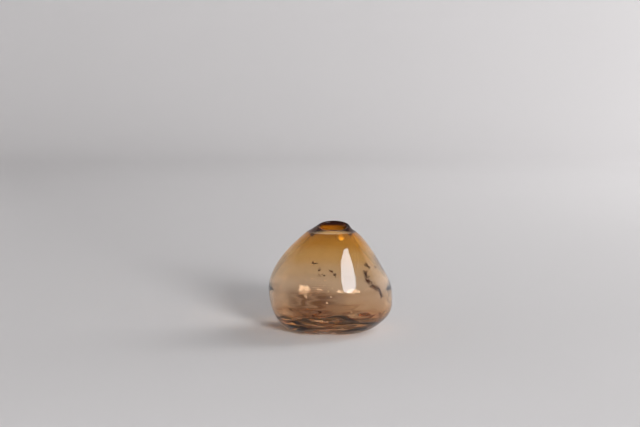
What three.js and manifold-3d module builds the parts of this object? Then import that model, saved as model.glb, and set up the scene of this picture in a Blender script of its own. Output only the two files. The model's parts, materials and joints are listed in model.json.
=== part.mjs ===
// A hand-blown glass bud vase: a squat, free-formed bubble with a heavy floor, a dark wrap of glass
// that makes its mouth, the button of glass that the punty left under it, and a few dark flecks of
// ash in its wall. Millimetres, +Z up, the origin on the table under the middle of the belly.
import * as THREE from "three";
import { mergeVertices } from "three/addons/utils/BufferGeometryUtils.js";
import Module from "manifold-3d";

// ---- Body ----
const vaseHeight = 78; // table to the top of the lip, at the back
const bellyWidth = 89; // across X, at the widest place
const bellyDepth = 85; // across Y, there
const bellyHeight = 29; // of the widest place above the table
const wall = 2.3; // at the belly
const footWidth = 46; // outside of the flat face it stands on
const footShift = -1; // along X, of the foot
const shoulderLean = 1.7; // of the shoulder, towards -X
const dentDepth = 5; // of the soft dent low in the front
const dentWidth = 40; // degrees round the foot
const bulgeDepth = 2.6; // of the low right side, towards +X
const bulgeHeight = 13; // of its middle above the table
const unevenness = 0.014; // of the belly's roundness, as a share of its radius

// ---- Floor ----
const floorThickness = 7; // glass between the table and the edge of the hollow's floor
const floorWidth = 52; // of the hollow's floor
const hollowFullness = 0.72; // of the hollow's low corner; 0.55 is a quarter of an ellipse
const floorCrown = 1.6; // rise of that floor from its edge to its middle
const foldHeight = 1.3; // of the folds that wander over it
const recessWidth = 28; // of the dished underside
const recessDepth = 2.4;

// ---- Lip ----
const mouthBore = 18;
const lipThickness = 8.6; // from the bore to the outside, where it sits on the neck
const lipHeight = 6.5; // at the back
const lipFrontHeight = 1.5;
const crestInset = 1.8; // from the bore to the highest line of the lip
const neckShift = 0.5; // along X, of the face where the lip sits
const mouthShift = 2; // along X, of the lip's crest
const neckSlope = 39; // degrees from level, of the shoulder where it meets the lip

// ---- Button left by the punty ----
const pontilWidth = 12;
const pontilThickness = 1.1;

// ---- Flecks of ash in the wall of the hollow ----
// round: degrees from the front towards +X. up: height as a share of the neck's. tilt: degrees of
// its length from level, in the wall's own plane.
const flecks = {
  fleck_front_1: { round: -17, up: 0.72, length: 2.8, breadth: 0.8, tilt: -8 },
  fleck_front_2: { round: -10, up: 0.665, length: 1.7, breadth: 1.4, tilt: 30 },
  fleck_front_3: { round: -9.5, up: 0.625, length: 1.1, breadth: 0.9, tilt: 0 },
  fleck_front_4: { round: -4.5, up: 0.62, length: 1.2, breadth: 0.9, tilt: 20 },
  fleck_front_5: { round: 3, up: 0.66, length: 2.6, breadth: 1, tilt: -28 },
  fleck_front_6: { round: 7, up: 0.625, length: 1.4, breadth: 0.8, tilt: 35 },
  fleck_side_1: { round: 53, up: 0.675, length: 3.2, breadth: 1.1, tilt: -62 },
  fleck_side_2: { round: 44, up: 0.61, length: 3.6, breadth: 1.4, tilt: 80 },
  fleck_side_3: { round: 43, up: 0.55, length: 3, breadth: 1.2, tilt: -50 },
  fleck_side_4: { round: 48, up: 0.495, length: 3.2, breadth: 1.3, tilt: -35 },
  fleck_side_5: { round: 54, up: 0.47, length: 2.6, breadth: 1.2, tilt: -20 },
  fleck_side_6: { round: 57, up: 0.415, length: 3.4, breadth: 1, tilt: -72 },
  fleck_side_7: { round: 68, up: 0.645, length: 1.6, breadth: 0.8, tilt: -30 },
};
const fleckThickness = 0.8;
const fleckSink = 0.25; // of a fleck's middle into the wall
const pocketClearance = 0.4; // all round a fleck

// ---- Smoothness ----
const turns = 60; // facets round the vase
const shoulderSteps = 14;
const heelSteps = 9;
const floorSteps = 5;
const recessSteps = 4;

// ---- Sizes that follow ----
const bellyRadius = bellyWidth / 2;
const footRadius = footWidth / 2;
const recessRadius = recessWidth / 2;
const boreRadius = mouthBore / 2;
const neckRadius = boreRadius + lipThickness;
const seatHeight = vaseHeight - lipHeight; // the level face where the lip meets the body
const rise = seatHeight - bellyHeight;
const innerBellyRadius = bellyRadius - wall;
const innerBellyHeight = bellyHeight + wall;
const innerFloorRadius = Math.min(floorWidth / 2, 0.7 * innerBellyRadius);
const quarterEllipse = 0.5523; // a handle's share of the radius, for a quarter of an ellipse
const shoulderFullness = 0.26 * rise; // length of the shoulder's handle at the belly
const neckPull = 0.39 * rise; // and at the neck

const { degToRad, lerp, mapLinear, smoothstep } = THREE.MathUtils;
const bump = (value, middle, width) => Math.exp(-(((value - middle) / width) ** 2));

// ---- The free-formed shape: where a point of the plain turned shape really lies ----
function lean(z) {
  const foot = footShift * (1 - smoothstep(z, 0, bellyHeight));
  const shoulder = -shoulderLean * bump(z, bellyHeight + 0.41 * rise, 0.37 * rise);
  return lerp(foot + shoulder, neckShift, smoothstep(z, seatHeight - 0.3 * rise, seatHeight));
}

function pressed({ x, y, z }) {
  const angle = Math.atan2(y, x);
  const radius = Math.max(Math.hypot(x, y), 1e-6);
  const soft = smoothstep(z, 0, bellyHeight) * (1 - smoothstep(z, seatHeight - 0.4 * rise, seatHeight));
  const lobes = soft * unevenness * (Math.sin(3 * angle) + 0.7 * Math.sin(2 * angle));
  const fromFront = Math.acos(-Math.sin(angle + degToRad(5)));
  const dented = smoothstep(radius, recessRadius, footRadius) * bump(z, 0, 0.5 * bellyHeight);
  const dent = (dentDepth / radius) * dented * bump(fromFront, 0, degToRad(dentWidth / 2));
  const oval = 1 - (1 - bellyDepth / bellyWidth) * (1 - smoothstep(z, bellyHeight, seatHeight));
  const bulged = smoothstep(radius, recessRadius, footRadius) * bump(z, bulgeHeight, 0.7 * bulgeHeight);
  const bulge = (bulgeDepth / radius) * bulged * Math.max(0, Math.cos(angle)) ** 2;
  const scale = 1 + lobes - dent + bulge;
  return new THREE.Vector3(x * scale + lean(z), y * scale * oval, z);
}

// The folds run from side to side over the floor of the hollow and die out as the heel rises.
function fold({ x, y }) {
  const reach = 1 - smoothstep(Math.hypot(x, y), 0.5 * bellyRadius, 0.8 * bellyRadius);
  return foldHeight * reach * (0.6 * Math.sin(0.34 * y + 0.09 * x) + 0.4 * Math.cos(0.2 * x - 0.17 * y));
}

// ---- Profiles, as [radius, height] ----
function bezier(steps, ...corners) {
  const [from, handle1, handle2, to] = corners.map(([r, z]) => new THREE.Vector2(r, z));
  return new THREE.CubicBezierCurve(from, handle1, handle2, to).getPoints(steps);
}

// The shoulder's handle at the neck, for a profile that starts there at the given radius.
function neckHandle(radius) {
  const slope = degToRad(neckSlope);
  return [radius + neckPull * Math.cos(slope), seatHeight - neckPull * Math.sin(slope)];
}

// From the middle of the underside, out and up to the outside of the neck.
function outerProfile() {
  const recess = bezier(
    recessSteps,
    [0.6 * recessRadius, recessDepth],
    [0.85 * recessRadius, recessDepth],
    [recessRadius, 0.6 * recessDepth],
    [recessRadius, 0],
  );
  const heel = bezier(
    heelSteps,
    [footRadius, 0],
    [footRadius + quarterEllipse * (bellyRadius - footRadius), 0],
    [bellyRadius, bellyHeight * (1 - quarterEllipse)],
    [bellyRadius, bellyHeight],
  );
  const shoulder = bezier(
    shoulderSteps,
    [bellyRadius, bellyHeight],
    [bellyRadius, bellyHeight + shoulderFullness],
    neckHandle(neckRadius),
    [neckRadius, seatHeight],
  );
  return [new THREE.Vector2(0, recessDepth), ...recess, ...heel, ...shoulder.slice(1)];
}

// From the bore, down and in to the middle of the hollow's floor.
function innerProfile() {
  const shoulder = bezier(
    shoulderSteps,
    [boreRadius, seatHeight],
    neckHandle(boreRadius),
    [innerBellyRadius, innerBellyHeight + shoulderFullness],
    [innerBellyRadius, innerBellyHeight],
  );
  const heel = bezier(
    heelSteps,
    [innerBellyRadius, innerBellyHeight],
    [innerBellyRadius, innerBellyHeight - hollowFullness * (innerBellyHeight - floorThickness)],
    [innerFloorRadius + hollowFullness * (innerBellyRadius - innerFloorRadius), floorThickness],
    [innerFloorRadius, floorThickness],
  );
  const crown = bezier(
    floorSteps,
    [innerFloorRadius, floorThickness],
    [0.7 * innerFloorRadius, floorThickness],
    [0.4 * innerFloorRadius, floorThickness + floorCrown],
    [0, floorThickness + floorCrown],
  );
  return [...shoulder, ...heel.slice(1), ...crown.slice(1)];
}

const outer = outerProfile();
const inner = innerProfile();

function hollowRadius(z) {
  const below = inner.findIndex((point) => point.y <= z);
  return mapLinear(z, inner[below].y, inner[below - 1].y, inner[below].x, inner[below - 1].x);
}

// ---- Solids ----
function closed(geometry) {
  geometry.deleteAttribute("normal");
  geometry.deleteAttribute("uv");
  return mergeVertices(geometry, 1e-3);
}

// A profile turned about Z. The mover gets each point and its step along the profile, and says
// where it lies in the free-formed shape.
function turned(profile, segments, mover) {
  const geometry = new THREE.LatheGeometry(profile, segments).rotateX(Math.PI / 2);
  const position = geometry.getAttribute("position");
  const point = new THREE.Vector3();
  for (let i = 0; i < position.count; i++) {
    point.fromBufferAttribute(position, i);
    const moved = mover(point, i % profile.length);
    position.setXYZ(i, moved.x, moved.y, moved.z);
  }
  return closed(geometry);
}

const wasm = await Module();
wasm.setup();

function solidOf(geometry) {
  const vertProperties = geometry.getAttribute("position").array;
  const triVerts = new Uint32Array(geometry.index.array);
  return new wasm.Manifold(new wasm.Mesh({ numProp: 3, vertProperties, triVerts }));
}

function geometryOf(solid) {
  const { vertProperties, triVerts } = solid.getMesh();
  const geometry = new THREE.BufferGeometry();
  geometry.setAttribute("position", new THREE.BufferAttribute(vertProperties, 3));
  geometry.setIndex(new THREE.BufferAttribute(triVerts, 1));
  return geometry;
}

// A fleck is a flat pebble, its length along X and its thickness along Z.
function pebble({ length, breadth, tilt }, grow) {
  const geometry = new THREE.SphereGeometry(1, 10, 7);
  geometry.scale(length / 2 + grow, breadth / 2 + grow, fleckThickness / 2 + grow);
  geometry.rotateZ(degToRad(tilt));
  return closed(geometry);
}

// It lies along the wall of the hollow, a little sunk in it: X level, Y up the wall, Z outward.
function pebblePlace({ round, up }) {
  const angle = degToRad(round - 90);
  const onWall = (z) => {
    const radius = hollowRadius(z);
    return pressed({ x: radius * Math.cos(angle), y: radius * Math.sin(angle), z });
  };
  const z = up * seatHeight;
  const upWall = onWall(z + 1).sub(onWall(z - 1)).normalize();
  const level = new THREE.Vector3(-Math.sin(angle), Math.cos(angle), 0);
  const outward = new THREE.Vector3().crossVectors(level, upWall).normalize();
  const across = new THREE.Vector3().crossVectors(upWall, outward);
  const place = new THREE.Matrix4().makeBasis(across, upWall, outward);
  return place.setPosition(onWall(z).addScaledVector(outward, fleckSink));
}

function bodyGeometry() {
  const plain = turned([...outer, ...inner], turns, (point, step) => {
    const moved = pressed(point);
    if (step >= outer.length && point.z < bellyHeight) moved.z += fold(point);
    return moved;
  });
  let body = solidOf(plain);
  for (const fleck of Object.values(flecks)) {
    body = body.subtract(solidOf(pebble(fleck, pocketClearance).applyMatrix4(pebblePlace(fleck))));
  }
  return geometryOf(body);
}

// The lip's flat underside is its own Z = 0. Its outside goes on from the shoulder, turns over a
// round crest and drops into the bore. The crest stands highest at the back and leans towards +X.
function lipGeometry() {
  const crest = boreRadius + Math.min(crestInset, 0.4 * lipThickness);
  const brim = neckRadius - crest;
  const outside = bezier(
    6,
    [neckRadius, 0],
    [neckRadius - 0.7 * brim, 0.45 * lipHeight],
    [crest + 0.2 * brim, lipHeight],
    [crest, lipHeight],
  );
  const inside = bezier(
    4,
    [crest, lipHeight],
    [boreRadius + 0.3 * (crest - boreRadius), lipHeight],
    [boreRadius, 0.7 * lipHeight],
    [boreRadius, 0],
  );
  const profile = [...outside, ...inside.slice(1), outside[0].clone()];
  return turned(profile, turns, ({ x, y, z }) => {
    const fromBack = (1 - Math.sin(Math.atan2(y, x))) / 2;
    const height = lerp(lipHeight, lipFrontHeight, fromBack);
    const up = z / lipHeight;
    return new THREE.Vector3(x + (mouthShift - neckShift) * up, y, height * up);
  });
}

// The button's broken edge is uneven. Its flat top is its own Z = 0, and it hangs down from there.
function pontilGeometry() {
  const radius = Math.min(pontilWidth / 2, 0.55 * recessRadius);
  const profile = [
    new THREE.Vector2(0, -0.85 * pontilThickness),
    new THREE.Vector2(0.5 * radius, -pontilThickness),
    new THREE.Vector2(0.85 * radius, -0.9 * pontilThickness),
    new THREE.Vector2(radius, 0),
    new THREE.Vector2(0, 0),
  ];
  return turned(profile, turns / 2, (point) => {
    const angle = Math.atan2(point.y, point.x);
    const broken = 1 + 0.05 * Math.sin(3 * angle) + 0.03 * Math.cos(5 * angle + 1);
    return new THREE.Vector3(point.x * broken, point.y * broken, point.z);
  });
}

// ---- Glass ----
function glass(color, roughness, opacity) {
  return new THREE.MeshStandardMaterial({ color, roughness, metalness: 0, transparent: true, opacity });
}

const smokyAmber = glass(0xb48a52, 0.03, 0.45);
const darkPlum = glass(0x3d2a26, 0.04, 0.8);
const brokenGlass = glass(0xa98867, 0.45, 0.6);
const ash = new THREE.MeshStandardMaterial({ color: 0x2b1710, roughness: 0.6, metalness: 0 });

// ---- Assembly ----
const vase = new THREE.Group();

function piece(name, geometry, material) {
  const mesh = new THREE.Mesh(geometry, material);
  mesh.name = name;
  return mesh;
}

const lip = piece("lip_wrap", lipGeometry(), darkPlum);
lip.position.set(neckShift, 0, seatHeight);

const pontil = piece("pontil_button", pontilGeometry(), brokenGlass);
pontil.position.set(lean(recessDepth), 0, recessDepth);

vase.add(piece("blown_body", bodyGeometry(), smokyAmber), lip, pontil);

for (const [name, fleck] of Object.entries(flecks)) {
  const mesh = piece(name, pebble(fleck, 0), ash);
  mesh.applyMatrix4(pebblePlace(fleck));
  vase.add(mesh);
}

export default vase;
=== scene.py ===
import json
import math
import bmesh
import bpy
from mathutils import Matrix, Vector, noise

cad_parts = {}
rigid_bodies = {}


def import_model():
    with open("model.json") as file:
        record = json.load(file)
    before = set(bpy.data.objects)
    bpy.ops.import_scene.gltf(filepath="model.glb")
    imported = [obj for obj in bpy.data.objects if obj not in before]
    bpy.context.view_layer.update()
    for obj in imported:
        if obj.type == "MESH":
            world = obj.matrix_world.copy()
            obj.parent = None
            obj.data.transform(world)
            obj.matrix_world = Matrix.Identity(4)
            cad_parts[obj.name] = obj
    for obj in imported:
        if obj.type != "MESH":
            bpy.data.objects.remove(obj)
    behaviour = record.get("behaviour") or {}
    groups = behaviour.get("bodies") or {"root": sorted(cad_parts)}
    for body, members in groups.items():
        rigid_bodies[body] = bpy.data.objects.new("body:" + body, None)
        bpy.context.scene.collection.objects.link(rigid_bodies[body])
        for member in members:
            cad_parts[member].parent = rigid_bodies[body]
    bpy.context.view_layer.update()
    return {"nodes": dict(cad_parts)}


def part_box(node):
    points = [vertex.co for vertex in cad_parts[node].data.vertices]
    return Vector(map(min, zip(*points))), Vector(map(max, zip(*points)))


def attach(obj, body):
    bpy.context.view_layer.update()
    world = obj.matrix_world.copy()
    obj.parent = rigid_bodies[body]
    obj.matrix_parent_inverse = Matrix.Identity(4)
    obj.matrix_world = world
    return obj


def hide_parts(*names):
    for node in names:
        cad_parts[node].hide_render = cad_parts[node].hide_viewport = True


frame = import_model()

# Hand-blown bud vase. Sizes in the dictionaries are millimetres, meshes are metres.
mm = 0.001
print("frame loaded:", ", ".join(sorted(frame["nodes"])))


def smooth(x, low, high):
    t = min(max((x - low) / (high - low), 0), 1)
    return t * t * (3 - 2 * t)


def mix(a, b, t):
    return a + (b - a) * t


def bump(x, middle, width):
    return math.exp(-(((x - middle) / width) ** 2))


def curve(a, b, c, d, steps):  # cubic handle curve through [radius, height] pairs
    points = []
    for i in range(steps + 1):
        t = i / steps
        s = 1 - t
        k = (s * s * s, 3 * s * s * t, 3 * s * t * t, t * t * t)
        points.append((k[0] * a[0] + k[1] * b[0] + k[2] * c[0] + k[3] * d[0],
                       k[0] * a[1] + k[1] * b[1] + k[2] * c[1] + k[3] * d[1]))
    return points


def wobble(x, y, z, size, seed):  # soft noise, about -1 to 1, size in mm
    return noise.noise(Vector((x / size + seed * 7.3, y / size - seed * 3.1, z / size + seed)))


def bridge(shape, low, high, sides):  # faces between two rows of vertices; a row may be one point
    faces = []
    for i in range(sides):
        j = (i + 1) % sides
        corners = []
        for v in (low[i % len(low)], low[j % len(low)], high[j % len(high)], high[i % len(high)]):
            if v not in corners:
                corners.append(v)
        faces.append(shape.faces.new(corners))
        faces[-1].smooth = True
    return faces


def asMesh(shape, name):
    mesh = bpy.data.meshes.new(name)
    shape.to_mesh(mesh)
    shape.free()
    return mesh


def turned(name, profile, turns, place, seam=-1, within=math.inf, ring=False):
    # rows of vertices round Z; the ends of an open profile lie on the axis. seam: step whose faces,
    # up to the next step, are fused to another piece. within: first step of the hollow's wall
    shape = bmesh.new()
    rows = []
    for step, (radius, z) in enumerate(profile):
        if radius < 1e-6:
            rows.append([shape.verts.new(place(0, 0, z, step) * mm)])
            continue
        row = []
        for i in range(turns):
            a = 2 * math.pi * i / turns
            row.append(shape.verts.new(place(radius * math.cos(a), radius * math.sin(a), z, step) * mm))
        rows.append(row)
    if ring:
        rows.append(rows[0])
    for step, (low, high) in enumerate(zip(rows, rows[1:])):
        for face in bridge(shape, low, high, turns):
            face.material_index = 1 if step == seam else 2 if step >= within else 0
    for edge in shape.edges:  # the fused face keeps a crisp rim
        if len({face.material_index for face in edge.link_faces}) > 1:
            edge.smooth = False
    return asMesh(shape, name)


def link(name, mesh, *materials):
    piece = bpy.data.objects.new(name, mesh)
    bpy.context.scene.collection.objects.link(piece)
    for material in materials:
        mesh.materials.append(material)
    return piece


body = {
    "bellyWidth": 89, "bellyDepth": 85, "bellyHeight": 29, "wall": 2.3,
    "footWidth": 46, "footShift": -1, "shoulderLean": 1.7, "unevenness": 0.014,
    "dentDepth": 5, "dentWidth": 40,  # soft dent low in the front, width in degrees
    "bulgeDepth": 2.6, "bulgeHeight": 13,  # low right side
    "floorThickness": 7, "floorCrown": 1.6, "floorWidth": 52, "foldHeight": 1.9, "hollowFullness": 0.72,
    "recessWidth": 28, "recessDepth": 2.4,
    "mouthBore": 18, "lipThickness": 8.6, "neckShift": 0.5, "neckSlope": 39,
    "shoulderPull": 0.26, "neckPull": 0.39,  # how far the shoulder's two ends keep straight, of its rise
    "outerWave": 0.04, "innerWave": 0.07, "heelWave": 0.8,  # how far the hand-worked faces wander
    "turns": 180, "shoulderSteps": 46, "heelSteps": 34, "floorSteps": 26, "recessSteps": 14,
}

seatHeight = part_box("lip_wrap")[0].z / mm
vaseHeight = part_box("lip_wrap")[1].z / mm
rise = seatHeight - body["bellyHeight"]
bellyRadius = body["bellyWidth"] / 2
footRadius = body["footWidth"] / 2
recessRadius = body["recessWidth"] / 2
boreRadius = body["mouthBore"] / 2
neckRadius = boreRadius + body["lipThickness"]
innerBelly = bellyRadius - body["wall"]
innerHeight = body["bellyHeight"] + body["wall"]
innerFloor = body["floorWidth"] / 2
quarter = 0.5523  # handle of a quarter circle


def lean(z):
    foot = body["footShift"] * (1 - smooth(z, 0, body["bellyHeight"]))
    shoulder = -body["shoulderLean"] * bump(z, body["bellyHeight"] + 0.41 * rise, 0.37 * rise)
    return mix(foot + shoulder, body["neckShift"], smooth(z, seatHeight - 0.3 * rise, seatHeight))


def pressed(x, y, z):  # where a point of the plain turned shape really lies
    angle = math.atan2(y, x)
    radius = max(math.hypot(x, y), 1e-6)
    soft = smooth(z, 0, body["bellyHeight"]) * (1 - smooth(z, seatHeight - 0.4 * rise, seatHeight))
    lobes = soft * body["unevenness"] * (math.sin(3 * angle) + 0.7 * math.sin(2 * angle))
    fromFront = math.acos(max(-1, min(1, -math.sin(angle + math.radians(5)))))
    dented = smooth(radius, recessRadius, footRadius) * bump(z, 0, 0.5 * body["bellyHeight"])
    dent = body["dentDepth"] / radius * dented * bump(fromFront, 0, math.radians(body["dentWidth"] / 2))
    narrow = 1 - body["bellyDepth"] / body["bellyWidth"]
    oval = 1 - narrow * (1 - smooth(z, body["bellyHeight"], seatHeight))
    low = body["bulgeHeight"]
    bulged = smooth(radius, recessRadius, footRadius) * bump(z, low, 0.7 * low)
    bulge = body["bulgeDepth"] / radius * bulged * max(0, math.cos(angle)) ** 2
    scale = 1 + lobes - dent + bulge
    return Vector((x * scale + lean(z), y * scale * oval, z))


def fold(x, y):  # folds that wander over the floor of the hollow
    reach = 1 - smooth(math.hypot(x, y), 0.5 * bellyRadius, 0.8 * bellyRadius)
    broad = 0.6 * math.sin(0.34 * y + 0.09 * x) + 0.4 * math.cos(0.2 * x - 0.17 * y)
    fine = 0.35 * math.sin(0.8 * y + 0.25 * math.sin(0.3 * x) + 0.12 * x) * bump(x, 4, 26)
    return body["foldHeight"] * reach * (broad + fine)


def neckHandle(radius):
    pull = body["neckPull"] * rise
    slope = math.radians(body["neckSlope"])
    return (radius + pull * math.cos(slope), seatHeight - pull * math.sin(slope))


def outerProfile():  # from under the middle, out and up to the neck
    low, deep = body["bellyHeight"], body["recessDepth"]
    recess = [(0, deep), (0.3 * recessRadius, deep)]
    recess += curve((0.6 * recessRadius, deep), (0.85 * recessRadius, deep),
                    (recessRadius, 0.6 * deep), (recessRadius, 0), body["recessSteps"])
    foot = [(mix(recessRadius, footRadius, t), 0) for t in (0.05, 0.3, 0.6, 0.9)]
    heel = curve((footRadius, 0), (footRadius + quarter * (bellyRadius - footRadius), 0),
                 (bellyRadius, low * (1 - quarter)), (bellyRadius, low), body["heelSteps"])
    shoulder = curve((bellyRadius, low), (bellyRadius, low + body["shoulderPull"] * rise),
                     neckHandle(neckRadius), (neckRadius, seatHeight), body["shoulderSteps"])
    return recess + foot + heel + shoulder[1:]


def innerProfile():  # from the bore, down the hollow's wall to the middle of its floor
    floor, full = body["floorThickness"], body["hollowFullness"]
    crown = floor + body["floorCrown"]
    shoulder = curve((boreRadius, seatHeight), neckHandle(boreRadius),
                     (innerBelly, innerHeight + body["shoulderPull"] * rise),
                     (innerBelly, innerHeight), body["shoulderSteps"])
    heel = curve((innerBelly, innerHeight), (innerBelly, innerHeight - full * (innerHeight - floor)),
                 (innerFloor + full * (innerBelly - innerFloor), floor), (innerFloor, floor),
                 body["heelSteps"])
    middle = curve((innerFloor, floor), (0.7 * innerFloor, floor), (0.4 * innerFloor, crown),
                   (0, crown), body["floorSteps"])
    return shoulder + heel[1:] + middle[1:]


outer = outerProfile()
inner = innerProfile()


def hollowRadius(z):
    for (r0, z0), (r1, z1) in zip(inner, inner[1:]):
        if z1 <= z <= z0:
            return mix(r0, r1, (z0 - z) / (z0 - z1))


def floorHeight(radius):
    low = [point for point in inner if point[1] < innerHeight]
    for (r0, z0), (r1, z1) in zip(low, low[1:]):
        if r1 <= radius <= r0:
            return mix(z0, z1, (r0 - radius) / (r0 - r1))


def wallFrame(roundAngle, z, sink):  # a spot on the hollow's wall: X level, Y up the wall, Z outward
    angle = math.radians(roundAngle - 90)

    def onWall(height):
        radius = hollowRadius(height)
        return pressed(radius * math.cos(angle), radius * math.sin(angle), height)

    upWall = (onWall(z + 1) - onWall(z - 1)).normalized()
    level = Vector((-math.sin(angle), math.cos(angle), 0))
    outward = level.cross(upWall).normalized()
    across = upWall.cross(outward)
    turn = Matrix((across, upWall, outward)).transposed().to_4x4()
    return Matrix.Translation(onWall(z) + outward * sink) @ turn


print("shape of the bubble worked out")


def newFinish(name, amounts):
    material = bpy.data.materials.new(name)
    material.use_nodes = True
    tree = material.node_tree
    tree.nodes.clear()
    output = tree.nodes.new("ShaderNodeOutputMaterial")
    shader = tree.nodes.new("ShaderNodeBsdfPrincipled")
    tree.links.new(shader.outputs["BSDF"], output.inputs["Surface"])
    for key, amount in amounts.items():
        shader.inputs[key].default_value = amount
    return material, tree, shader


def feed(tree, source, socket):  # a socket takes another socket or a plain value
    if isinstance(source, bpy.types.NodeSocket):
        tree.links.new(source, socket)
    else:
        socket.default_value = source


def add(tree, kind, *sources, **settings):  # a node with its first inputs fed in order
    node = tree.nodes.new("ShaderNode" + kind)
    for key, value in settings.items():
        setattr(node, key, value)
    for socket, source in zip(node.inputs, sources):
        feed(tree, source, socket)
    return node


def here(tree):
    return add(tree, "TexCoord").outputs["Object"]


def times(tree, one, other):
    return add(tree, "Math", one, other, operation="MULTIPLY").outputs[0]


def eased(tree, source, start, end):
    return add(tree, "MapRange", source, start, end, interpolation_type="SMOOTHSTEP").outputs["Result"]


def blend(tree, share, one, other):
    node = add(tree, "Mix", share, data_type="RGBA")
    for socket, source in zip(node.inputs[6:8], (one, other)):
        feed(tree, (*source, 1) if isinstance(source, tuple) else source, socket)
    return node.outputs[2]


def cloudy(tree, where, scale, detail=2):
    cloud = add(tree, "TexNoise", where)
    cloud.inputs["Scale"].default_value = scale
    cloud.inputs["Detail"].default_value = detail
    return cloud.outputs["Fac"]


def stretched(tree, where, scale):
    mapping = add(tree, "Mapping", where)
    mapping.inputs["Scale"].default_value = scale
    return mapping.outputs["Vector"]


def ramp(tree, share, stops, interpolation="LINEAR"):
    node = add(tree, "ValToRGB", share)
    node.color_ramp.interpolation = interpolation
    elements = node.color_ramp.elements
    while len(elements) < len(stops):
        elements.new(0.5)
    for element, (position, colour) in zip(elements, stops):
        element.position = position
        element.color = (*colour, 1)
    return node.outputs["Color"]


def emboss(tree, shader, height, depth):
    relief = add(tree, "Bump")
    relief.inputs["Strength"].default_value = 1
    relief.inputs["Distance"].default_value = depth * mm
    feed(tree, height, relief.inputs["Height"])
    feed(tree, relief.outputs["Normal"], shader.inputs["Normal"])


def ripple(tree, shader, look):  # soft ripples left by the blowing
    cloud = cloudy(tree, stretched(tree, here(tree), (1, 1, 2.2)), 1 / (look["rippleSize"] * mm), 1)
    emboss(tree, shader, cloud, look["rippleDepth"])


def heightTint(tree, look):  # colour by height over the table, drifting a little in the melt
    where = here(tree)
    cloud = cloudy(tree, stretched(tree, where, look["streakSize"]), 1, 3)
    streak = look["streak"] * mm
    drift = add(tree, "Math", cloud, streak, -streak / 2, operation="MULTIPLY_ADD").outputs[0]
    up = add(tree, "SeparateXYZ", where).outputs["Z"]
    height = add(tree, "Math", up, drift, operation="ADD").outputs[0]
    share = add(tree, "MapRange", height, 0, vaseHeight * mm).outputs["Result"]
    return ramp(tree, share, [(z / vaseHeight, colour) for z, colour in look["stops"]], "EASE")


def shadeStreaks(tree, tint, look):
    # painted shade on the hollow's folded floor: dark wavering streaks, broken here and there, and a brown
    # cloud
    where = here(tree)
    up = add(tree, "SeparateXYZ", where).outputs["Z"]
    wave = add(tree, "TexWave", where, bands_direction="Z")
    wave.inputs["Scale"].default_value = look["scale"]
    wave.inputs["Distortion"].default_value = look["waver"]
    wave.inputs["Detail"].default_value = 2
    wave.inputs["Detail Scale"].default_value = look["waverScale"]
    waves = wave.outputs["Fac"]
    level = times(tree, eased(tree, up, look["gone"] * mm, look["full"] * mm),
                  eased(tree, up, look["from"] * mm, look["clear"] * mm))
    line = times(tree, eased(tree, waves, look["edge"], look["core"]),
                 eased(tree, cloudy(tree, where, look["patch"], 1), 0.4, 0.56))
    # painted shade: dark streaks laid over the tint
    dark = blend(tree, times(tree, level, line), tint, look["colour"])
    # a brown cloud of painted shade round the given middle
    middle = [c * mm for c in look["shadeCloudMiddle"]]
    away = add(tree, "VectorMath", where, middle, operation="DISTANCE").outputs["Value"]
    near = eased(tree, away, look["shadeCloudReach"] * mm, 0.3 * look["shadeCloudReach"] * mm)
    return blend(tree, times(tree, near, eased(tree, waves, -0.6, 0.9)), dark, look["shadeCloud"])


def blownGlass(name, look):
    material, tree, shader = newFinish(name, {
        "Transmission Weight": look["clearness"], "Metallic": look.get("silver", 0),
        "Roughness": look["roughness"], "IOR": look["ior"],
    })
    tint = heightTint(tree, look)
    # painted shade streaks on the hollow's floor
    if "shadeStreaks" in look:
        tint = shadeStreaks(tree, tint, look["shadeStreaks"])
    feed(tree, tint, shader.inputs["Base Color"])
    ripple(tree, shader, look)
    return material


# the same finish also makes the dark painted shade threads on the hollow's floor
def ashAndShadeMaterial(name, look):  # charred, rusty where it is thin
    material, tree, shader = newFinish(name, {"Roughness": 0.8, "Specular IOR Level": 0.05})
    cloud = cloudy(tree, here(tree), look["grain"], 4)
    tone = ramp(tree, cloud, [(0.4, look["dark"]), (0.68, look["rust"])])
    feed(tree, tone, shader.inputs["Base Color"])
    return material


def fusedMaterial():  # inside one melt there is no face to see
    material = bpy.data.materials.new("fusedSeam")
    material.use_nodes = True
    tree = material.node_tree
    tree.nodes.clear()
    output = tree.nodes.new("ShaderNodeOutputMaterial")
    feed(tree, add(tree, "BsdfTransparent").outputs[0], output.inputs["Surface"])
    return material


fusedSeam = fusedMaterial()
print("ways to make the finishes ready")

amberLook = {
    # tint of one wall, by height: rose-beige low, smoke in the middle, amber on top
    "stops": [(0, (0.76, 0.42, 0.2)), (8, (0.6, 0.25, 0.08)), (15, (0.68, 0.38, 0.18)),
              (24, (0.77, 0.5, 0.29)), (33, (0.79, 0.55, 0.35)), (46, (0.77, 0.49, 0.24)),
              (57, (0.76, 0.41, 0.11)), (66, (0.63, 0.26, 0.012)), (75, (0.44, 0.11, 0.0005))],
    "streak": 5, "streakSize": (38, 38, 9),
    "clearness": 1, "roughness": 0.0, "ior": 1.5, "rippleSize": 16, "rippleDepth": 0.05,
}
hollowLook = {
    # the colour lies in the outer gather, so the hollow's wall is nearly clear, with painted shade streaks on
    # its floor
    "stops": [(0, (0.97, 0.93, 0.9)), (40, (0.99, 0.98, 0.97)), (78, (0.98, 0.96, 0.92))],
    "streak": 5, "streakSize": (38, 38, 9),
    "clearness": 1, "roughness": 0.0, "ior": 1.5, "rippleSize": 16, "rippleDepth": 0.05,
    "shadeStreaks": {
        # dark streaks and a brown cloud of painted shade on the hollow's floor
        "colour": (0.2, 0.06, 0.012), "scale": 120, "waver": 3.2, "waverScale": 0.4, "patch": 60,
        "edge": 0.5, "core": 0.93, "from": 3, "clear": 6, "full": 9, "gone": 14,
        "shadeCloud": (0.26, 0.1, 0.025), "shadeCloudMiddle": (-14, 31, 13), "shadeCloudReach": 26,
    },
}


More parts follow.
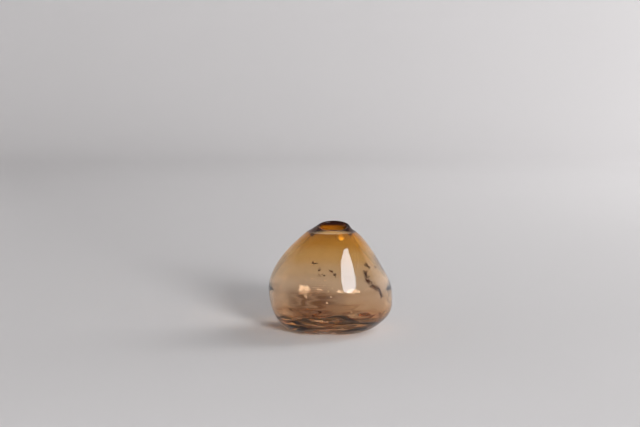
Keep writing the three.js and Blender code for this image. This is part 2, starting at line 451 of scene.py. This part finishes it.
def bodyPlace(x, y, z, step):
    point = pressed(x, y, z)
    out = Vector((x, y, 0)).normalized() if x or y else Vector((0, 0, 0))
    neck = 1 - smooth(z, seatHeight - 5, seatHeight)
    if step < len(outer):
        return point + out * body["outerWave"] * wobble(x, y, z, 17, 1) * smooth(z, 0.5, 8) * neck
    wave = body["innerWave"] * neck
    point += out * wave * wobble(x, y, z, 13, 2) * smooth(z, 6, 14)
    point += out * body["heelWave"] * wobble(x, y, 3 * z, 15, 6) * bump(z, 15, 9)
    if z < body["bellyHeight"]:
        point.z += fold(x, y) + wave * wobble(x, y, z, 9, 3) * (1 - smooth(z, 8, 20))
    return point


bodyMesh = turned("blown_body_glass", outer + inner, body["turns"], bodyPlace,
                  seam=len(outer) - 1, within=len(outer))
blownBody = link("blown_body_glass", bodyMesh, blownGlass("amberGlass", amberLook), fusedSeam,
                 blownGlass("hollowGlass", hollowLook))
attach(blownBody, "root")
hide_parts("blown_body")
print("blown body:", len(bodyMesh.polygons), "faces")

lip = {
    "height": vaseHeight - seatHeight, "frontHeight": 1.5, "crestInset": 1.8, "mouthShift": 2.0,
    "lobe": 0.5, "lobeAngle": 170,  # the wrap was laid on thicker here, degrees from +X
    "steps": 18,
}
lipLook = {
    # the pale front colour is a painted highlight along the front rim
    "plum": (0.035, 0.01, 0.006), "bore": (0.42, 0.12, 0.003), "paleFrontHighlight": (0.86, 0.54, 0.25),
    "crestFrom": 74.2, "crestTo": 75.6, "frontFrom": -8.5, "frontTo": -12.5,
    "boreRadius": 9, "boreFade": 1.2, "boreGrain": 260, "boreWander": 1.2, "axis": (1.2, 0),
    "shine": 0.05, "clearness": 0.7, "roughness": 0.0, "ior": 1.22, "rippleSize": 6, "rippleDepth": 0.06,
}


def lipGlass(look):
    # dark plum laid round the mouth, amber still bare on the bore, and pale in front as a painted highlight
    # along the front rim
    material, tree, shader = newFinish("plumGlass", {
        "Transmission Weight": look["clearness"], "Specular IOR Level": look["shine"],
        "Roughness": look["roughness"], "IOR": look["ior"],
    })
    where = here(tree)
    _, y, z = add(tree, "SeparateXYZ", where).outputs
    axis = (look["axis"][0] * mm, look["axis"][1] * mm, 0)
    shift = add(tree, "VectorMath", where, axis, operation="SUBTRACT").outputs[0]
    flat = add(tree, "VectorMath", shift, (1, 1, 0), operation="MULTIPLY").outputs[0]
    reach = add(tree, "VectorMath", flat, operation="LENGTH").outputs["Value"]
    wander = add(tree, "Math", cloudy(tree, where, look["boreGrain"]), -look["boreWander"] * mm, reach,
                 operation="MULTIPLY_ADD").outputs[0]
    outside = eased(tree, wander, look["boreRadius"] * mm, (look["boreRadius"] + look["boreFade"]) * mm)
    crest = eased(tree, z, look["crestFrom"] * mm, look["crestTo"] * mm)
    plumPart = add(tree, "Math", outside, crest, operation="MAXIMUM").outputs[0]
    # painted highlight: pale amber towards the front of the rim
    front = eased(tree, y, look["frontFrom"] * mm, look["frontTo"] * mm)
    tint = blend(tree, front, blend(tree, plumPart, look["bore"], look["plum"]), look["paleFrontHighlight"])
    feed(tree, tint, shader.inputs["Base Color"])
    ripple(tree, shader, look)
    return material


def lipProfile():
    crest = boreRadius + lip["crestInset"]
    brim = neckRadius - crest
    high = lip["height"]
    outside = curve((neckRadius, 0), (neckRadius - 0.7 * brim, 0.45 * high), (crest + 0.2 * brim, high),
                    (crest, high), lip["steps"])
    inside = curve((crest, high), (boreRadius + 0.3 * (crest - boreRadius), high),
                   (boreRadius, 0.7 * high), (boreRadius, 0), lip["steps"])
    return outside + inside[1:]


def lipPlace(x, y, z, step):
    angle = math.atan2(y, x)
    radius = math.hypot(x, y)
    high = mix(lip["height"], lip["frontHeight"], (1 - math.sin(angle)) / 2)
    up = z / lip["height"]
    side = smooth(radius, boreRadius + 2, boreRadius + 5)  # only the outside swells
    turnAway = math.acos(math.cos(angle - math.radians(lip["lobeAngle"])))
    uneven = bump(turnAway, 0, 0.7) + 0.4 * wobble(x, y, z, 9, 5)
    swell = 1 + lip["lobe"] * side * uneven * up * (1 - up) * 4 / radius
    across = body["neckShift"] + (lip["mouthShift"] - body["neckShift"]) * up
    return Vector((x * swell + across, y * swell, seatHeight + high * up))


ringProfile = lipProfile()
lipMesh = turned("lip_wrap_glass", ringProfile, body["turns"], lipPlace,
                 seam=len(ringProfile) - 1, ring=True)
lipWrap = link("lip_wrap_glass", lipMesh, lipGlass(lipLook), fusedSeam)
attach(lipWrap, "root")
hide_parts("lip_wrap")
print("lip wrap:", len(lipMesh.polygons), "faces")

pontil = {"width": 12, "thickness": 1.1, "turns": 64, "sunk": 0.04}
brokenLook = {"colour": (0.8, 0.66, 0.52), "roughness": 0.32, "grain": 900, "relief": 0.25}


def brokenGlass(look):
    material, tree, shader = newFinish("brokenGlass", {
        "Transmission Weight": 1, "Roughness": look["roughness"],
    })
    grain = cloudy(tree, here(tree), look["grain"])
    tone = ramp(tree, grain, [(0, [0.75 * c for c in look["colour"]]), (1, look["colour"])])
    feed(tree, tone, shader.inputs["Base Color"])
    emboss(tree, shader, grain, look["relief"])
    return material


def pontilPlace(x, y, z, step):
    angle = math.atan2(y, x)
    broken = 1 + 0.05 * math.sin(3 * angle) + 0.03 * math.cos(5 * angle + 1)
    rough = 0.12 * wobble(x, y, z, 1.1, 8) + 0.08 * wobble(x, y, z, 0.5, 9) if z < -0.5 else 0
    return Vector((x * broken + lean(body["recessDepth"]), y * broken, z + body["recessDepth"] + rough))


def pontilProfile():
    radius, thick, sunk = pontil["width"] / 2, pontil["thickness"], pontil["sunk"]
    under = [(radius * t, -thick * (0.85 + 0.15 * math.sin(math.pi * t)))
             for t in (0, 0.15, 0.3, 0.45, 0.6, 0.72, 0.82)]
    edge = [(0.9 * radius, -0.85 * thick), (0.96 * radius, -0.6 * thick), (radius, -0.2 * thick)]
    return under + edge + [(radius, sunk), (0.5 * radius, sunk), (0, sunk)]


pontilMesh = turned("pontil_button_glass", pontilProfile(), pontil["turns"], pontilPlace)
pontilButton = link("pontil_button_glass", pontilMesh, brokenGlass(brokenLook))
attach(pontilButton, "root")
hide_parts("pontil_button")
print("pontil button:", len(pontilMesh.polygons), "faces")

# round: degrees from the front towards +X. up: share of the neck's height. tilt: degrees from level
flecks = {
    "fleck_front_1": {"round": -17, "up": 0.72, "length": 3.2, "breadth": 0.7, "tilt": -8, "crumbs": 4},
    "fleck_front_2": {"round": -10, "up": 0.665, "length": 1.8, "breadth": 1.5, "tilt": 30, "crumbs": 1},
    "fleck_front_3": {"round": -9.5, "up": 0.625, "length": 1.1, "breadth": 0.9, "tilt": 0, "crumbs": 2},
    "fleck_front_4": {"round": -4.5, "up": 0.62, "length": 1.3, "breadth": 0.9, "tilt": 20, "crumbs": 2},
    "fleck_front_5": {"round": 3, "up": 0.66, "length": 2.8, "breadth": 1.0, "tilt": -28, "crumbs": 3},
    "fleck_front_6": {"round": 7, "up": 0.625, "length": 1.6, "breadth": 0.9, "tilt": 35, "crumbs": 6},
    "fleck_side_1": {"round": 53, "up": 0.675, "length": 3.6, "breadth": 1.6, "tilt": -62, "crumbs": 10},
    "fleck_side_2": {"round": 44, "up": 0.61, "length": 4.4, "breadth": 2.4, "tilt": 80, "crumbs": 11},
    "fleck_side_3": {"round": 43, "up": 0.55, "length": 3.8, "breadth": 2.2, "tilt": -50, "crumbs": 14},
    "fleck_side_4": {"round": 48, "up": 0.495, "length": 4.2, "breadth": 2.4, "tilt": -35, "crumbs": 14},
    "fleck_side_5": {"round": 54, "up": 0.47, "length": 3.4, "breadth": 2.0, "tilt": -20, "crumbs": 12},
    "fleck_side_6": {"round": 57, "up": 0.415, "length": 4.2, "breadth": 1.6, "tilt": -72, "crumbs": 10},
    "fleck_side_7": {"round": 68, "up": 0.645, "length": 2.0, "breadth": 0.8, "tilt": -30, "crumbs": 4,
                     "hairs": 2},
}
ash = {
    "thickness": 0.7, "sink": 0.9,  # of a fleck's middle into the wall
    "core": 0.6, "broad": 1.5, "hairs": 1, "broadHairs": 4,  # a fleck over broad has more hairs
    "hairBits": 9, "hairReach": 1.25, "hairGap": -0.25, "bit": (0.3, 0.42, 0.35),
}
ashLook = {"dark": (0.008, 0.002, 0.001), "rust": (0.12, 0.03, 0.008), "grain": 1800}
ashSpeck = ashAndShadeMaterial("ashSpeck", ashLook)


def addSpeck(shape, place, length, breadth, thick, seed, detail=3):
    for v in bmesh.ops.create_icosphere(shape, subdivisions=detail, radius=1)["verts"]:
        p = v.co.copy()
        rough = 1 + 0.75 * wobble(p.x, p.y, p.z, 0.6, seed) + 0.3 * wobble(p.x, p.y, p.z, 0.25, seed + 5)
        p *= rough
        v.co = (place @ Vector((p.x * length / 2, p.y * breadth / 2, p.z * thick / 2))) * mm


def addHair(shape, place, fleck, number, hair):  # a broken thread that leaves the fleck and comes back
    for bit in range(ash["hairBits"]):
        t = bit / (ash["hairBits"] - 1) - 0.5
        wave = 3.1 * t + 2.3 * hair + number
        swing = 0.62 * math.sin(wave) + 0.22 * math.sin(9 * t + hair)
        lie = Matrix.Rotation(0.8 * math.cos(wave) + 0.4 * math.sin(bit * 2.2 + hair), 4, "Z")
        aside = Vector((ash["hairReach"] * t * fleck["length"], swing * (fleck["breadth"] + 0.4),
                        0.15 * math.sin(bit + hair)))
        if wobble(bit, hair, number, 1.7, 3) > ash["hairGap"]:
            long, wide, thick = ash["bit"]
            addSpeck(shape, place @ Matrix.Translation(aside) @ lie, long * fleck["length"], wide, thick,
                     number + bit + hair, 1)


def addCrumb(shape, place, fleck, number, crumb):  # crumbs trail off along the fleck
    t = number * 5.1 + crumb * 2.4
    aside = Vector((fleck["length"] * (0.62 * math.sin(t * 1.7) + 0.28 * math.sin(t * 4.1)),
                    (fleck["breadth"] + 0.5) * (0.75 * math.sin(t * 2.9) + 0.3 * math.cos(t * 1.1)),
                    0.2 * math.sin(t)))
    size = 0.25 + 0.5 * (0.5 + 0.5 * math.sin(t * 3.7)) ** 2
    lie = Matrix.Rotation(1.2 * math.sin(t * 2.3), 4, "Z")
    addSpeck(shape, place @ Matrix.Translation(aside) @ lie, size * 2.2, size * 0.9, size * 0.6,
             number + crumb + 20, 2)


for number, (name, fleck) in enumerate(flecks.items()):
    shape = bmesh.new()
    place = wallFrame(fleck["round"], fleck["up"] * seatHeight, ash["sink"])
    place = place @ Matrix.Rotation(math.radians(fleck["tilt"]), 4, "Z")
    addSpeck(shape, place, fleck["length"], ash["core"] * fleck["breadth"], ash["thickness"], number)
    hairs = fleck.get("hairs", ash["broadHairs"] if fleck["breadth"] > ash["broad"] else ash["hairs"])
    for hair in range(hairs):
        addHair(shape, place, fleck, number, hair)
    for crumb in range(fleck["crumbs"]):
        addCrumb(shape, place, fleck, number, crumb)
    for face in shape.faces:
        face.smooth = True
    speck = link(name + "_ash", asMesh(shape, name + "_ash"), ashSpeck)
    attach(speck, "root")
    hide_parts(name)
print("flecks:", len(flecks))

# dark threads of painted shade along the folds of the hollow's floor: way points across and back, then size
threads = [
    {"way": [(-23, 26), (-17, 29), (-12, 28), (-6, 30)], "tall": 2.1, "wide": 3.0},
    {"way": [(-12, 27), (-3, 29), (7, 26), (17, 27)], "tall": 2.2, "wide": 3.2},
    {"way": [(8, 5), (16, -1), (25, 1), (34, 6)], "tall": 2.2, "wide": 3.2},
    {"way": [(-32, 8), (-24, 3), (-15, 5), (-8, 2)], "tall": 1.3, "wide": 1.8},
]
threadSteps, threadSides = 14, 10  # along each span of a way and round it
# colours of the dark threads, which are painted shade
threadShadeLook = {"dark": (0.09, 0.025, 0.004), "rust": (0.3, 0.11, 0.03), "grain": 350}


def throughPoints(a, b, c, d, t):  # soft curve from b to c
    return 0.5 * (2 * b + (c - a) * t + (2 * a - 5 * b + 4 * c - d) * t * t
                  + (3 * b - a - 3 * c + d) * t * t * t)


def threadMesh():
    shape = bmesh.new()
    for number, thread in enumerate(threads):
        way = [thread["way"][0]] + thread["way"] + [thread["way"][-1]]
        spans = len(way) - 3
        rows = []
        for span in range(spans):
            for step in range(threadSteps):
                t = step / threadSteps
                x, y = [throughPoints(*[point[i] for point in way[span:span + 4]], t) for i in range(2)]
                along = min(max((span + t) / spans, 0.01), 0.99)
                size = math.sin(math.pi * along) ** 0.6 * (0.65 + 0.6 * wobble(x, y, number, 4, 11))
                middle = pressed(x, y, floorHeight(math.hypot(x, y)))
                middle += Vector((0, 0, fold(x, y) + 0.3 * thread["tall"]))
                row = []
                for side in range(threadSides):
                    turn = 2 * math.pi * side / threadSides
                    rim = Vector((0, math.cos(turn) * size * thread["wide"] / 2,
                                  math.sin(turn) * size * thread["tall"] / 2))
                    row.append(shape.verts.new((middle + rim) * mm))
                rows.append(row)
        for low, high in zip(rows, rows[1:]):
            bridge(shape, low, high, threadSides)
        shape.faces.new(rows[0][::-1])
        shape.faces.new(rows[-1])
    return asMesh(shape, "floor_shade_threads")


# the threads are painted shade, dark things where the thick floor shows only dark
floorShadeThreads = link("floor_shade_threads", threadMesh(), ashAndShadeMaterial("paintedShadeThreads", threadShadeLook))
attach(floorShadeThreads, "root")
print("threads on the floor:", len(threads))

# round as for the flecks, z over the table, width, height and depth, and how far the middle is sunk
bubbles = [
    {"round": 22, "z": 66.4, "size": (5.4, 5.8, 3.2), "sink": 2.4},
    {"round": -3, "z": 27, "size": (1.0, 1.6, 0.7), "sink": 1.2},
    {"round": 1, "z": 31, "size": (0.9, 0.9, 0.6), "sink": 1.3},
    {"round": -1, "z": 34.5, "size": (0.7, 1.3, 0.6), "sink": 1.2},
    {"round": 3, "z": 36.5, "size": (0.6, 0.6, 0.5), "sink": 1.1},
    {"round": -5, "z": 38, "size": (0.5, 0.9, 0.5), "sink": 1.2},
    {"round": -20, "z": 37, "size": (0.6, 0.6, 0.5), "sink": 1.1},
    {"round": 20, "z": 20, "size": (0.8, 1.1, 0.6), "sink": 1.6},
    {"round": 140, "z": 40, "size": (0.9, 1.5, 0.7), "sink": 1.2},
    {"round": 205, "z": 30, "size": (1.1, 1.1, 0.8), "sink": 1.3},
    {"round": 250, "z": 46, "size": (0.7, 1.2, 0.6), "sink": 1.3},
]
bubbleLook = {
    "stops": [(0, (0.95, 0.88, 0.8)), (50, (0.96, 0.86, 0.7)), (62, (1.0, 0.97, 0.8)),
              (78, (1.0, 0.97, 0.8))],
    "streak": 1, "streakSize": (60, 60, 60),
    "clearness": 0, "silver": 1, "roughness": 0.62, "ior": 1.5, "rippleSize": 4, "rippleDepth": 0.03,
}


def bubbleMesh():
    shape = bmesh.new()
    for number, bubble in enumerate(bubbles):
        place = wallFrame(bubble["round"], bubble["z"], bubble["sink"])
        for v in bmesh.ops.create_icosphere(shape, subdivisions=4, radius=1)["verts"]:
            p = v.co * (1 + 0.05 * wobble(v.co.x, v.co.y, v.co.z, 1.2, number))
            v.co = (place @ Vector([p[i] * bubble["size"][i] / 2 for i in range(3)])) * mm
    for face in shape.faces:
        face.smooth = True
    bmesh.ops.reverse_faces(shape, faces=shape.faces)  # the glass is outside a bubble
    return asMesh(shape, "air_bubbles")


airBubbles = link("air_bubbles", bubbleMesh(), blownGlass("bubbleSkin", bubbleLook))
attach(airBubbles, "root")
print("air bubbles:", len(bubbles))

studio = {  # metres
    "paper": (0.70, 0.685, 0.69), "radius": 3.2, "sweep": 1.3, "wallHeight": 2.4, "sides": 96, "sweepSteps": 16,
    "ambient": (0.5, 0.49, 0.48), "ambientOnPaper": 0.1, "ambientInGlass": 0.75,
}


def paperBowl():  # floor that sweeps up into a wall all round
    shape = bmesh.new()
    radius, sweep, sides = studio["radius"], studio["sweep"], studio["sides"]
    profile = [(0.2, 0), (0.6, 0), (radius - sweep, 0)]
    for step in range(1, studio["sweepSteps"] + 1):
        a = step * math.pi / (2 * studio["sweepSteps"])
        profile.append((radius - sweep + sweep * math.sin(a), sweep - sweep * math.cos(a)))
    profile.append((radius, studio["wallHeight"]))
    rows = [[shape.verts.new((0, 0, 0))]]
    for r, z in profile:
        turns = [2 * math.pi * i / sides for i in range(sides)]
        rows.append([shape.verts.new((r * math.cos(a), r * math.sin(a), z)) for a in turns])
    for low, high in zip(rows, rows[1:]):
        bridge(shape, low, high, sides)
    return asMesh(shape, "paper_sweep")


def paperMaterial():
    material, tree, shader = newFinish("palePaper", {"Roughness": 0.9, "Specular IOR Level": 0.1})
    cloud = cloudy(tree, here(tree), 3)
    tone = ramp(tree, cloud, [(0, [0.98 * c for c in studio["paper"]]), (1, studio["paper"])])
    feed(tree, tone, shader.inputs["Base Color"])
    return material


paper = link("paper_sweep", paperBowl(), paperMaterial())

# azimuth from the front towards +X and elevation in degrees, sizes in metres, power in watts.
# middle: what the light faces, the vase where none is given
lights = {
    "window": {"azimuth": 24, "elevation": 14.5, "distance": 2.8, "width": 0.78, "height": 0.88,
               "spread": 120, "power": 38},
    "glint": {"azimuth": 51, "elevation": 36.8, "distance": 1.35, "width": 0.62, "height": 1.28,
              "roll": -38, "power": 21},
    "rearGlint": {"azimuth": 50, "elevation": 10, "distance": 1.35, "width": 0.72, "height": 0.7, "power": 40},
    "fill": {"azimuth": 95, "elevation": 42, "distance": 2.4, "width": 2.2, "height": 1.6, "power": 4},
    "wash": {"azimuth": 40, "elevation": 20, "distance": 3.0, "width": 2.2, "height": 1.4, "power": 31,
             "middle": (0.9, 3.2, 0.2)},
    "pool": {"azimuth": 55, "elevation": 48, "distance": 2.0, "width": 1.8, "height": 1.4, "power": 23,
             "middle": (0.5, 1.9, 0.1)},
    "sideWash": {"azimuth": 20, "elevation": 20, "distance": 2.6, "width": 2.4, "height": 1.6, "power": 11},
}


def softLight(name, place):
    lamp = bpy.data.lights.new(name, "AREA")
    lamp.shape = "ELLIPSE"
    lamp.size, lamp.size_y = place["width"], place["height"]
    lamp.energy = place["power"]
    lamp.spread = math.radians(place.get("spread", 180))
    light = bpy.data.objects.new(name, lamp)
    a, e = math.radians(place["azimuth"]), math.radians(place["elevation"])
    away = Vector((math.sin(a) * math.cos(e), -math.cos(a) * math.cos(e), math.sin(e)))
    light.location = Vector(place.get("middle", (0, 0, 0.04))) + away * place["distance"]
    roll = Matrix.Rotation(math.radians(place.get("roll", 0)), 4, "Z")
    light.rotation_euler = ((-away).to_track_quat("-Z", "Y").to_matrix().to_4x4() @ roll).to_euler()
    light.visible_camera = False
    bpy.context.scene.collection.objects.link(light)
    return light


windowLight = softLight("window_light", lights["window"])
windowLight.visible_glossy = False
glintLight = softLight("glint_light", lights["glint"])  # only for the shine on the glass
glintLight.visible_diffuse = glintLight.visible_transmission = False
glintLight.data.color = (0.93, 1.0, 1.1)
rearGlint = softLight("rear_glint", lights["rearGlint"])  # picks out the back of the hollow
rearGlint.visible_diffuse = rearGlint.visible_glossy = False
paperLights = [softLight("fill_light", lights["fill"]), softLight("wash_light", lights["wash"]),
               softLight("pool_light", lights["pool"])]
for side in (90, 180, 270):  # the paper round the other sides
    a = math.radians(side)
    middle = (-studio["radius"] * math.sin(a), studio["radius"] * math.cos(a), 0.5)
    turnedWash = dict(lights["sideWash"], azimuth=lights["sideWash"]["azimuth"] + side, middle=middle)
    paperLights.append(softLight("side_wash_" + str(side), turnedWash))
for soft in paperLights:
    soft.visible_glossy = soft.visible_transmission = False

world = bpy.data.worlds.new("studioAir")
world.use_nodes = True
air = world.node_tree.nodes["Background"]
air.inputs["Color"].default_value = (*studio["ambient"], 1)
kind = world.node_tree.nodes.new("ShaderNodeLightPath")
strength = world.node_tree.nodes.new("ShaderNodeMapRange")  # pale in the glass, dimmer on the paper
strength.inputs["To Min"].default_value = studio["ambientInGlass"]
strength.inputs["To Max"].default_value = studio["ambientOnPaper"]
world.node_tree.links.new(kind.outputs["Is Diffuse Ray"], strength.inputs["Value"])
world.node_tree.links.new(strength.outputs["Result"], air.inputs["Strength"])
bpy.context.scene.world = world
print("studio: paper sweep and", 3 + len(paperLights), "lights")

shot = {"lens": 70, "sensor": 36, "distance": 0.908, "elevation": 11.5, "pitch": -6.2, "yaw": 0.5}


def makeCamera():
    data = bpy.data.cameras.new("camera")
    data.lens = shot["lens"]
    data.sensor_width = shot["sensor"]
    data.clip_start = 0.02
    camera = bpy.data.objects.new("camera", data)
    e = math.radians(shot["elevation"])
    camera.location = (0, -shot["distance"] * math.cos(e), shot["distance"] * math.sin(e))
    camera.rotation_euler = (math.radians(90 + shot["pitch"]), 0, math.radians(shot["yaw"]))
    bpy.context.scene.collection.objects.link(camera)
    bpy.context.scene.camera = camera


makeCamera()

scene = bpy.context.scene
scene.view_settings.view_transform = "Standard"
scene.cycles.max_bounces = 24
scene.cycles.transmission_bounces = 24
scene.cycles.glossy_bounces = 8
scene.cycles.transparent_max_bounces = 32
scene.cycles.use_denoising = True
scene.cycles.sample_clamp_indirect = 8
print("camera set")
